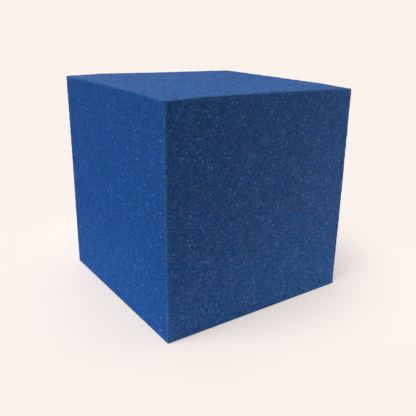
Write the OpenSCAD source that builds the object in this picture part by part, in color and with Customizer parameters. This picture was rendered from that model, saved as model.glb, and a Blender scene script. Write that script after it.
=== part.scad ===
/* [Block] */
// Width of the block, along X, in millimetres
block_w = 203; // [60:1:600]
// Depth of the block, along Y
block_d = 198; // [60:1:600]
// Height of the block, along Z
block_h = 203; // [60:1:600]

/* [Cut edges] */
// Radius to which a cut edge of open-celled foam softens
edge_r = 1.5; // [0.5:0.1:12]
// Straight sides in a full turn of that radius
edge_sides = 48; // [24:4:96]

/* [Foam] */
// Red, green and blue of the dyed foam
foam_colour = [0.15, 0.31, 0.56]; // [0:0.01:1]

/* [Hidden] */
// How far a corner arc passes the straight sides that trim it, so that it crosses them cleanly
arc_overlap = 0.01;
// How far a prism runs past the block at each end, where the other two prisms cut it off
end_overlap = 1;

// A rectangle centred on the origin, with its four corners rounded to edge_r.
module rounded_rectangle(w, d) {
    intersection() {
        square([w, d], center = true);
        union() {
            square([w - 2 * edge_r, d], center = true);
            square([w, d - 2 * edge_r], center = true);
            for (x = [-1, 1], y = [-1, 1])
                translate([x * (w / 2 - edge_r), y * (d / 2 - edge_r)])
                    circle(r = edge_r + arc_overlap, $fn = edge_sides);
        }
    }
}

// An upright prism whose four long edges are rounded, centred on the origin.
module rounded_prism(w, d, length) {
    linear_extrude(height = length + 2 * end_overlap, center = true)
        rounded_rectangle(w, d);
}

// One solid piece of foam, cut flat on all six sides. Three prisms cross at its middle, and each
// rounds the four edges that run its own way. The block stands on the origin's plane.
module foam_block() {
    color(foam_colour)
        translate([0, 0, block_h / 2])
            intersection() {
                rounded_prism(block_w, block_d, block_h);
                rotate([90, 0, 0]) rounded_prism(block_w, block_h, block_d);
                rotate([90, 0, 90]) rounded_prism(block_d, block_h, block_w);
            }
}

foam_block();
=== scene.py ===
"""The looks of a cut foam block: its mesh, its open-celled foam, a pale floor and soft studio light."""

import math

import bpy
import numpy as np
from mathutils import Matrix, Vector, noise


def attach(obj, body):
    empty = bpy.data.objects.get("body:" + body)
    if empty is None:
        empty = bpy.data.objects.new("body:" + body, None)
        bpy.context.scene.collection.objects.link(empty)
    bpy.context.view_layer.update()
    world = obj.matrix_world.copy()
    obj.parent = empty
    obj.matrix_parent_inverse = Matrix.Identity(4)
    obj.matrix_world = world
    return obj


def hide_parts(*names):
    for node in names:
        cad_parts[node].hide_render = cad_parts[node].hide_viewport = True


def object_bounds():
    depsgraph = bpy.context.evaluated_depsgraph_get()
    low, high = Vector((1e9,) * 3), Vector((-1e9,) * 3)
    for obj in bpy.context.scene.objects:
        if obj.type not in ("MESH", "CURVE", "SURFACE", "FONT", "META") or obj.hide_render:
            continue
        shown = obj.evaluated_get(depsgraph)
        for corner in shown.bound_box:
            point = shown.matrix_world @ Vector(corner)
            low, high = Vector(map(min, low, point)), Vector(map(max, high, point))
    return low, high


MM = 0.001

# ---- camera: angles in degrees, lengths in block heights from the middle of the block
CAMERA_AZIMUTH = -34.86
CAMERA_ELEVATION = 18.88
CAMERA_ROLL = 0.93
CAMERA_DISTANCE = 2.642
AIM_RIGHT = 0.0263
AIM_UP = -0.133
LENS_MM = 45.11

# ---- how far each cut strays from square, in degrees: its turn about z, and its lean up the side;
# ---- for the top, its slope along x and along y
LEFT_CUT = (0.22, 0.02)
RIGHT_CUT = (0.67, -0.03)
FRONT_CUT = (0.75, 0.35)
BACK_CUT = (0.14, 0.19)
TOP_CUT = (-0.47, 0.56)

# ---- the mesh: its rounded edges and steps, then how deep and how long its relief is
EDGE_RADIUS = 1.5 * MM
ARC_STEPS = 4
FLAT_STEPS = 118
VERTEX_STRAY = 0.3
KNIFE_WAVE = 0.35 * MM
KNIFE_WAVE_LENGTH = 70 * MM
CLUMP_RELIEF = 0.10 * MM
CLUMP_SIZE = 4.5 * MM
GRAIN_RELIEF = 0.05 * MM
EDGE_NIBBLE = 0.5 * MM
NIBBLE_LENGTH = 3.5 * MM
EDGE_BAND = 5 * MM
CORNER_SAG = 1.2 * MM
CORNER_REACH = 45 * MM
SAGGING_CORNERS = [(-1, -1), (1, -1), (-1, 1)]
BASE_FADE = 4 * MM
MAP_MARGIN = 0.006

# ---- the foam's cells and the slower changes over them, with sizes in millimetres
CELL_SIZE = 1.0
RISE_STRETCH = 1.25
LATTICE_TURN = (0.61, 0.37, 0.29)
WANDER = 0.9
WANDER_SIZE = 1.1
CLOUD_SIZE = 3.5
DRIFT_SIZE = 9
PATCH_SIZE = 12
SHADE_SIZE = 45
FRAY_SIZE = 2.5

# ---- the bands in which a side counts as facing an axis, and in which a slow noise turns from low to high
FACING = (0.3, 0.9)
TURNING = (0.35, 0.65)

# ---- as shares of a cell: where its rim starts and ends, how far its struts and a painted glint's border reach
RIM_START = 0.15
RIM_END = 0.6
STRUT_CORE = 0.02
STRUT_REACH = 0.16
GLINT_BORDER = 0.12

# ---- what each part adds to a point's brightness, and the sum at which it has FOAM_COLOUR
TONE_WEIGHT = 0.74
RIM_WEIGHT = 0.14
STRUT_WEIGHT = 0.38
CLOUD_WEIGHT = 0.40
SHADE_WEIGHT = 0.10
EVEN_BRIGHTNESS = 0.84

# ---- the contrast of the cells on the left and right, what the front and back or the top and base add
# ---- to it, the top and base's share being painted shade of the cells' relief, and what it is multiplied
# by
# ---- in quiet and in lively patches
SIDE_CONTRAST = 0.74
FRONT_EXTRA = 0.70
TOP_PAINTED_RELIEF_SHADE = 1.60
PATCH_CONTRAST = (0.7, 1.2)

# ---- the share of cells with a painted glint: from NEAR at the front to FAR further back, between two
# ---- places along y in millimetres, then multiplied in quiet and lively patches, and on the other sides
# ---- and on the left and right
GLINT_SHARE_NEAR = 0.057
GLINT_SHARE_FAR = 0.3 * GLINT_SHARE_NEAR
GLINT_BAND = (-100, 30)
PATCH_GLINTS = (0.6, 1.3)
SIDE_GLINTS = (1.42, 0.78)

# ---- how strong a painted glint is: the least, how rare the strong ones are, and the left and right last
FAINTEST_GLINT = 0.25
GLINT_RARITY = 6.0
SIDE_GLINT_STRENGTH = (1.0, 0.8)

# ---- the painted highlight along the edges: where it starts, then what it is multiplied by where the foam
# ---- is frayed and between its mouths and its struts
HIGHLIGHT_START = 0.3
FRAY_BAND = (0.3, 0.65)
FRAYED_HIGHLIGHT = (0.15, 0.9)
STRUT_HIGHLIGHT = (0.5, 1.05)

# ---- the surface of the cells: rough mouths and smoother struts
BUMP_STRENGTH = 0.5
BUMP_DEPTH = 0.4 * MM
ROUGHNESS = (0.9, 0.7)
SPECULAR = 0.07

# ---- colours of the foam, from cell mouths darkened with painted shade to the painted glints, sheen and edge highlight
SHADED_MOUTH_COLOUR = (0.0022, 0.036, 0.206)
FOAM_COLOUR = (0.0068, 0.079, 0.329)
STRUT_COLOUR = (0.0225, 0.146, 0.500)
DRIFT_TINT = (1.5, 1.0, 0.90)
PAINTED_GLINT_COLOUR = (0.25, 0.54, 1.0)
PAINTED_SHEEN_COLOUR = (0.29, 0.52, 0.56)
FRONT_PAINTED_SHEEN = 0.046
TOP_PAINTED_SHEEN = 0.058
EDGE_HIGHLIGHT_COLOUR = (0.050, 0.156, 0.372)

# ---- floor and light: a level of 1 shows a facing surface in its own colour
BACKDROP = (0.965, 0.888, 0.831)
TABLE_COLOUR = (0.90, 0.83, 0.78)
ROOM_COLOUR = (0.20, 0.19, 0.18)
TABLE_NEAR = 0.16
TABLE_FAR = 0.36
FLOOR_NEAR = 0.12
FLOOR_FAR = 0.30
FLOOR_VEIL = 0.35
WORLD_LEVEL = 0.02

# name, azimuth, elevation, level, width of the light in degrees
SUNS = [("key", -90, 45, 0.75, 50),
        ("top", 0, 89, 0.385, 60)]

# name, azimuth, elevation, level, distance and size in block heights; the table hides the foot of the first
SOFTBOXES = [("side", 65, -3, 0.428, 2.1, 1.2),
             ("rear", 180, 4, 0.38, 2.6, 1.5)]


def smooth_step(x):
    """0 below 0, 1 above 1, and an even S between."""
    t = np.clip(x, 0.0, 1.0)
    return t * t * (3 - 2 * t)


def direction(azimuth, elevation):
    """The unit vector towards a view, with azimuths as the frame's other views have them."""
    a, e = math.radians(azimuth), math.radians(elevation)
    return Vector((math.sin(a) * math.cos(e), -math.cos(a) * math.cos(e), math.sin(e)))


# ---------------------------------------------------------------- camera

def make_camera(low, high):
    """A camera at the photo's viewing angle, rolled a little and aimed off the middle of the block."""
    height = high.z - low.z
    middle = (low + high) / 2
    back = direction(CAMERA_AZIMUTH, CAMERA_ELEVATION)
    roll = math.radians(CAMERA_ROLL)
    level_right = Vector((0, 0, 1)).cross(back).normalized()
    level_up = back.cross(level_right)
    right = math.cos(roll) * level_right + math.sin(roll) * level_up
    up = back.cross(right)
    data = bpy.data.cameras.new("camera")
    data.lens = LENS_MM
    data.sensor_width = 36
    data.clip_start, data.clip_end = 0.01, 50
    camera = bpy.data.objects.new("camera", data)
    bpy.context.scene.collection.objects.link(camera)
    camera.location = middle + height * (AIM_RIGHT * right + AIM_UP * up + CAMERA_DISTANCE * back)
    camera.rotation_euler = Matrix((right, up, back)).transposed().to_euler()
    bpy.context.scene.camera = camera


# ---------------------------------------------------------------- the foam block's mesh

def stations(length):
    """Where the mesh lines cross one axis: even angles round each soft edge, even steps between them."""
    angles = np.linspace(0, math.pi / 4, ARC_STEPS + 1)[1:]
    arc = length / 2 - EDGE_RADIUS + EDGE_RADIUS * np.tan(angles)
    flat = np.linspace(EDGE_RADIUS - length / 2, length / 2 - EDGE_RADIUS, FLAT_STEPS + 1)
    return np.concatenate([-arc[::-1], flat, arc])


def box_lattice(size):
    """Points of a box's surface on a lattice of stations, its outward quads, and the side of each."""
    lines = [stations(s) for s in size]
    last = len(lines[0]) - 1
    index = {}
    points, quads, sides = [], [], []

    def vertex(key):
        if key not in index:
            index[key] = len(points)
            points.append([lines[axis][k] for axis, k in enumerate(key)])
        return index[key]

    for side in range(6):
        axis, end = side // 2, side % 2
        first, second = (axis + 1) % 3, (axis + 2) % 3
        for i in range(last):
            for j in range(last):
                ring = [(i, j), (i + 1, j), (i + 1, j + 1), (i, j + 1)]
                if not end:
                    ring.reverse()
                quad = []
                for a, b in ring:
                    key = [0, 0, 0]
                    key[axis], key[first], key[second] = end * last, a, b
                    quad.append(vertex(tuple(key)))
                quads.append(quad)
                sides.append(side)
    return np.array(points), quads, sides


def stray(points, size):
    """Moves the points of each flat side a little within it, so that no lattice shows in the foam."""
    random = np.random.default_rng(7)
    step = (size - 2 * EDGE_RADIUS) / FLAT_STEPS
    inner = np.abs(points) < size / 2 - EDGE_RADIUS - 0.5 * step
    moved = random.uniform(-VERTEX_STRAY, VERTEX_STRAY, points.shape) * step
    two_flat = inner.sum(axis=1) == 2
    return points + moved * inner * two_flat[:, None]


def cut_out_of_square(points, size):
    """Turns and leans each cut side a little about its middle; the base stays flat."""
    x, y, z = points.T
    u, v, w = (points / (size / 2)).T
    cuts = np.radians([LEFT_CUT, RIGHT_CUT, FRONT_CUT, BACK_CUT, TOP_CUT])
    left, right, front, back, top = np.tan(cuts)
    moved_x = (1 - u) / 2 * (left[0] * y + left[1] * z) + (1 + u) / 2 * (right[0] * y + right[1] * z)
    moved_y = (1 - v) / 2 * (front[0] * x + front[1] * z) + (1 + v) / 2 * (back[0] * x + back[1] * z)
    moved_z = (1 + w) / 2 * (top[0] * x + top[1] * y)
    return points + np.stack([moved_x, moved_y, moved_z], axis=1)


def noise_field(points, length, offset=(0, 0, 0)):
    """Smooth noise at each point, about 0, with bumps of the given length."""
    shift = Vector(offset)
    return np.array([noise.noise(Vector(p) / length + shift) for p in points])


def foam_mesh(low, high):
    """The block as one closed mesh, with soft nibbled edges, cut relief, sunk corners and stray cuts."""
    size = np.array(high - low)
    centre = np.array((low + high) / 2)
    half = size / 2
    lattice, quads, sides = box_lattice(size)
    lattice = stray(lattice, size)
    core = np.clip(lattice, EDGE_RADIUS - half, half - EDGE_RADIUS)
    outward = lattice - core
    outward /= np.linalg.norm(outward, axis=1)[:, None]
    rounded = core + EDGE_RADIUS * outward
    from_edge = np.sort(half - np.abs(lattice), axis=1)[:, 1]
    edge = 1 - smooth_step(from_edge / EDGE_BAND)

    random = np.random.default_rng(11)
    wave = noise_field(rounded, KNIFE_WAVE_LENGTH)
    clump = noise_field(rounded, CLUMP_SIZE)
    nibble = noise_field(rounded, NIBBLE_LENGTH, (7, 3, 5))
    grain = random.normal(0, 1, len(rounded))
    relief = KNIFE_WAVE * wave + CLUMP_RELIEF * clump + GRAIN_RELIEF * grain
    relief -= EDGE_NIBBLE * edge ** 2 * np.clip(0.3 + nibble, 0, 1)
    lifted = smooth_step((rounded[:, 2] + half[2]) / BASE_FADE)
    shaped = rounded + outward * (relief * lifted)[:, None]
    for x_side, y_side in SAGGING_CORNERS:
        from_corner = np.linalg.norm(lattice - half * (x_side, y_side, 1), axis=1)
        shaped[:, 2] -= CORNER_SAG * (1 - smooth_step(from_corner / CORNER_REACH))
    shaped = cut_out_of_square(shaped, size) + centre

    mesh = bpy.data.meshes.new("foam_block_piece")
    mesh.from_pydata(shaped.tolist(), [], quads)
    mesh.attributes.new("edge", "FLOAT", "POINT").data.foreach_set("value", edge.astype(np.float32))
    add_map(mesh, quads, sides, lattice / size + 0.5)
    mesh.polygons.foreach_set("use_smooth", [True] * len(mesh.polygons))
    mesh.update()
    return mesh


def add_map(mesh, quads, sides, places):
    """One map with the six sides in three columns and two rows; places are shares of the block's size."""
    layer = mesh.uv_layers.new(name="OFBake")
    coords = []
    for side, quad in zip(sides, quads):
        column, row = side // 2, side % 2
        first, second = (column + 1) % 3, (column + 2) % 3
        for corner in quad:
            u = MAP_MARGIN + (1 - 2 * MAP_MARGIN) * places[corner][first]
            v = MAP_MARGIN + (1 - 2 * MAP_MARGIN) * places[corner][second]
            coords += [(column + u) / 3, (row + v) / 2]
    layer.data.foreach_set("uv", coords)


# ---------------------------------------------------------------- materials

class Graph:
    """Short calls for building a node tree; an input takes a number, a colour or a node's output."""

    def __init__(self, tree):
        self.tree = tree

    def add(self, kind, inputs=None, **settings):
        node = self.tree.nodes.new("ShaderNode" + kind)
        for name, value in settings.items():
            setattr(node, name, value)
        for name, value in (inputs or {}).items():
            self.feed(node.inputs[name], value)
        return node

    def feed(self, socket, value):
        if isinstance(value, bpy.types.NodeSocket):
            self.tree.links.new(value, socket)
        elif socket.type == "RGBA":
            socket.default_value = (*value, 1)
        else:
            socket.default_value = value

    def math(self, operation, *values):
        node = self.add("Math", operation=operation)
        for socket, value in zip(node.inputs, values):
            self.feed(socket, value)
        return node.outputs[0]

    def product(self, first, *others):
        for value in others:
            first = self.math("MULTIPLY", first, value)
        return first

    def weighted(self, start, *terms):
        """The start plus every value times its weight."""
        for value, weight in terms:
            start = self.math("MULTIPLY_ADD", value, weight, start)
        return start

    def step(self, value, start, end, low=0.0, high=1.0):
        """An even S from low at start to high at end."""
        node = self.add("MapRange", {"Value": value, "From Min": start, "From Max": end,
                                     "To Min": low, "To Max": high},
                        interpolation_type="SMOOTHSTEP")
        return node.outputs["Result"]

    def blend(self, factor, first, second, how="MIX"):
        """A mix of two colours, through the colour sockets that a Mix node keeps at 6 and 7."""
        node = self.add("Mix", {0: factor, 6: first, 7: second}, data_type="RGBA", blend_type=how)
        return node.outputs[2]

    def ramp(self, value, *stops):
        """A colour ramp through stops, each a position and a colour."""
        node = self.add("ValToRGB", {"Fac": value})
        elements = node.color_ramp.elements
        while len(elements) < len(stops):
            elements.new(0.5)
        for element, (position, colour) in zip(elements, stops):
            element.position = position
            element.color = (*colour, 1)
        return node.outputs["Color"]

    def noise(self, place, size, detail=2.0):
        node = self.add("TexNoise", {"Vector": place, "Scale": 1 / size, "Detail": detail,
                                     "Roughness": 0.6})
        return node.outputs["Fac"]

    def cells(self, place, size, feature="F1"):
        return self.add("TexVoronoi", {"Vector": place, "Scale": 1 / size}, feature=feature)


def new_graph(name):
    material = bpy.data.materials.new(name)
    material.use_nodes = True
    material.node_tree.nodes.clear()
    return material, Graph(material.node_tree)


def foam_cells(g, place):
    """At each place its cell's random numbers, and how far it lies from the middle and from a strut."""
    wander = g.add("TexNoise", {"Vector": place, "Scale": 1 / WANDER_SIZE, "Detail": 1.0})
    ragged = g.add("VectorMath", {0: wander.outputs["Color"], 1: (WANDER,) * 3, 2: place},
                   operation="MULTIPLY_ADD")
    turned = g.add("Mapping", {"Vector": ragged.outputs[0], "Rotation": LATTICE_TURN,
                               "Scale": (1, 1 / RISE_STRETCH, 1)})
    cell = g.cells(turned.outputs[0], CELL_SIZE)
    chance = g.add("SeparateXYZ", {0: cell.outputs["Color"]})
    borders = g.cells(turned.outputs[0], CELL_SIZE, "DISTANCE_TO_EDGE")
    return chance.outputs, cell.outputs["Distance"], borders.outputs["Distance"]


def foam_material():
    """Open-celled foam: painted shade in the cell mouths between paler struts, painted glints, sheen and
    edge highlight.
    """
    material, g = new_graph("open_cell_foam")
    texture = g.add("TexCoord")
    scaled = g.add("VectorMath", {0: texture.outputs["Object"]}, operation="SCALE")
    scaled.inputs["Scale"].default_value = 1 / MM
    place = scaled.outputs[0]
    along = g.add("SeparateXYZ", {0: place})
    facing = g.add("SeparateXYZ", {0: texture.outputs["Normal"]})
    edge = g.add("Attribute", attribute_name="edge").outputs["Fac"]

    sideways = g.step(g.math("ABSOLUTE", facing.outputs["X"]), *FACING)
    across = g.step(g.math("ABSOLUTE", facing.outputs["Y"]), *FACING)
    level = g.step(g.math("ABSOLUTE", facing.outputs["Z"]), *FACING)
    patch = g.step(g.noise(place, PATCH_SIZE, 1.0), *TURNING)

    chance, from_middle, from_strut = foam_cells(g, place)
    bright = g.weighted(0.0,
                        (chance[0], TONE_WEIGHT),
                        (g.step(from_middle, RIM_START, RIM_END), RIM_WEIGHT),
                        (g.step(from_strut, STRUT_REACH, STRUT_CORE), STRUT_WEIGHT),
                        (g.noise(place, CLOUD_SIZE), CLOUD_WEIGHT),
                        (g.noise(place, SHADE_SIZE, 1.0), SHADE_WEIGHT))
    # the top and base get more cell contrast: painted shade of the cells' relief under grazing light
    contrast = g.weighted(SIDE_CONTRAST, (across, FRONT_EXTRA), (level, TOP_PAINTED_RELIEF_SHADE))
    contrast = g.product(contrast, g.step(patch, 0.0, 1.0, *PATCH_CONTRAST))
    bright = g.math("MULTIPLY_ADD", g.math("SUBTRACT", bright, EVEN_BRIGHTNESS), contrast, 0.5)

    # from cell mouths darkened with painted shade to paler struts; the random tone between cells is the
    # foam's own
    body = g.ramp(bright, (0.0, SHADED_MOUTH_COLOUR), (0.5, FOAM_COLOUR), (1.0, STRUT_COLOUR))
    # a pale painted sheen, with fine painted glints, on the front and back and on the top and base
    painted_sheen = g.weighted(0.0, (across, FRONT_PAINTED_SHEEN), (level, TOP_PAINTED_SHEEN))
    body = g.blend(painted_sheen, body, PAINTED_SHEEN_COLOUR)
    drift = g.step(g.noise(place, DRIFT_SIZE, 1.0), *TURNING)
    body = g.blend(drift, body, DRIFT_TINT, "MULTIPLY")

    # painted glints: some cells' windows painted pale, most of them at the front and off the left and right
    share = g.product(g.step(along.outputs["Y"], *GLINT_BAND, GLINT_SHARE_NEAR, GLINT_SHARE_FAR),
                      g.step(patch, 0.0, 1.0, *PATCH_GLINTS),
                      g.step(sideways, 0.0, 1.0, *SIDE_GLINTS))
    chosen = g.math("GREATER_THAN", chance[1], g.math("SUBTRACT", 1.0, share))
    power = g.math("MULTIPLY_ADD", g.math("POWER", chance[2], GLINT_RARITY),
                   1 - FAINTEST_GLINT, FAINTEST_GLINT)
    painted_glint = g.product(chosen, g.step(from_strut, 0.0, GLINT_BORDER), power,
                      g.step(sideways, 0.0, 1.0, *SIDE_GLINT_STRENGTH))
    colour = g.blend(painted_glint, body, PAINTED_GLINT_COLOUR)

    # a painted highlight along the edges, ragged where the cut foam frays
    painted_edge_highlight = g.product(g.step(edge, HIGHLIGHT_START, 1.0),
                     g.step(g.noise(place, FRAY_SIZE), *FRAY_BAND, *FRAYED_HIGHLIGHT),
                     g.step(bright, 0.0, 0.8, *STRUT_HIGHLIGHT))
    colour = g.blend(painted_edge_highlight, colour, EDGE_HIGHLIGHT_COLOUR)

    bump = g.add("Bump", {"Height": bright, "Strength": BUMP_STRENGTH, "Distance": BUMP_DEPTH})
    shader = g.add("BsdfPrincipled", {"Base Color": colour, "Normal": bump.outputs[0],
                                      "Roughness": g.step(bright, 0.0, 1.0, *ROUGHNESS),
                                      "Specular IOR Level": SPECULAR})
    g.add("OutputMaterial", {"Surface": shader.outputs[0]})
    return material


def seen_directly(g):
    """1 where the camera, a reflection or a clear pane looks at the surface, 0 for light bouncing about."""
    path = g.add("LightPath").outputs
    return g.math("MAXIMUM", path["Is Camera Ray"], g.math("MAXIMUM", path["Is Glossy Ray"],
                                                           path["Is Transmission Ray"]))


def floor_material():
    """A pale floor that holds the block's shadow and melts into the backdrop further out."""
    material, g = new_graph("floor")
    seen = seen_directly(g)
    place = g.add("TexCoord").outputs["Object"]
    radius = g.add("VectorMath", {0: place}, operation="LENGTH").outputs["Value"]
    far = g.step(radius, FLOOR_NEAR, FLOOR_FAR, FLOOR_VEIL, 1.0)
    bounced = g.blend(g.step(radius, TABLE_NEAR, TABLE_FAR), TABLE_COLOUR, ROOM_COLOUR)
    diffuse = g.add("BsdfDiffuse", {"Color": g.blend(seen, bounced, BACKDROP)})
    glow = g.add("Emission", {"Color": BACKDROP, "Strength": 1.0})
    mixed = g.add("MixShader", {0: g.product(seen, far), 1: diffuse.outputs[0], 2: glow.outputs[0]})
    g.add("OutputMaterial", {"Surface": mixed.outputs[0]})
    return material


# ---------------------------------------------------------------- scene

def make_block(low, high):
    block = bpy.data.objects.new("foam_block_piece", foam_mesh(low, high))
    bpy.context.scene.collection.objects.link(block)
    block.data.materials.append(foam_material())
    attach(block, "root")
    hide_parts("foam_block")


def make_floor(low, high):
    centre = (low + high) / 2
    bpy.ops.mesh.primitive_plane_add(size=12, location=(centre.x, centre.y, low.z))
    floor = bpy.context.object
    floor.name = "floor"
    floor.data.materials.append(floor_material())


def place_lamp(data, location, back):
    """Puts a lamp at a place, shining away from the direction back."""
    lamp = bpy.data.objects.new(data.name, data)
    lamp.location = location
    lamp.rotation_euler = back.to_track_quat("Z", "Y").to_euler()
    bpy.context.scene.collection.objects.link(lamp)
    return lamp


def make_lights(low, high):
    height = high.z - low.z
    middle = (low + high) / 2
    for name, azimuth, elevation, level, width in SUNS:
        data = bpy.data.lights.new(name, "SUN")
        data.energy = math.pi * level
        data.angle = math.radians(width)
        place_lamp(data, middle, direction(azimuth, elevation))
    for name, azimuth, elevation, level, distance, size in SOFTBOXES:
        data = bpy.data.lights.new(name, "AREA")
        data.size = size * height
        data.energy = level * (math.pi * distance * height) ** 2
        back = direction(azimuth, elevation)
        lamp = place_lamp(data, middle + distance * height * back, back)
        lamp.visible_camera = False


def make_world():
    world = bpy.data.worlds.new("world")
    bpy.context.scene.world = world
    world.use_nodes = True
    world.node_tree.nodes.clear()
    g = Graph(world.node_tree)
    strength = g.step(seen_directly(g), 0, 1, WORLD_LEVEL, 1.0)
    sky = g.add("Background", {"Color": BACKDROP, "Strength": strength})
    g.add("OutputWorld", {"Surface": sky.outputs[0]})


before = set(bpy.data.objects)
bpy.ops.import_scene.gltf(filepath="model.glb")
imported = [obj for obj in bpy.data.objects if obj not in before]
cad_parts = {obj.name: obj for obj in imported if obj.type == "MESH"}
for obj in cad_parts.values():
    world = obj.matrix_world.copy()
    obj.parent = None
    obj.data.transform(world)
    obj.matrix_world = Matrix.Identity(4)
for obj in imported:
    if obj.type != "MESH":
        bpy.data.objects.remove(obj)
cad_low, cad_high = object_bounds()
make_camera(cad_low, cad_high)
make_block(cad_low, cad_high)
make_floor(cad_low, cad_high)
make_lights(cad_low, cad_high)
make_world()
bpy.context.scene.view_settings.view_transform = "Standard"
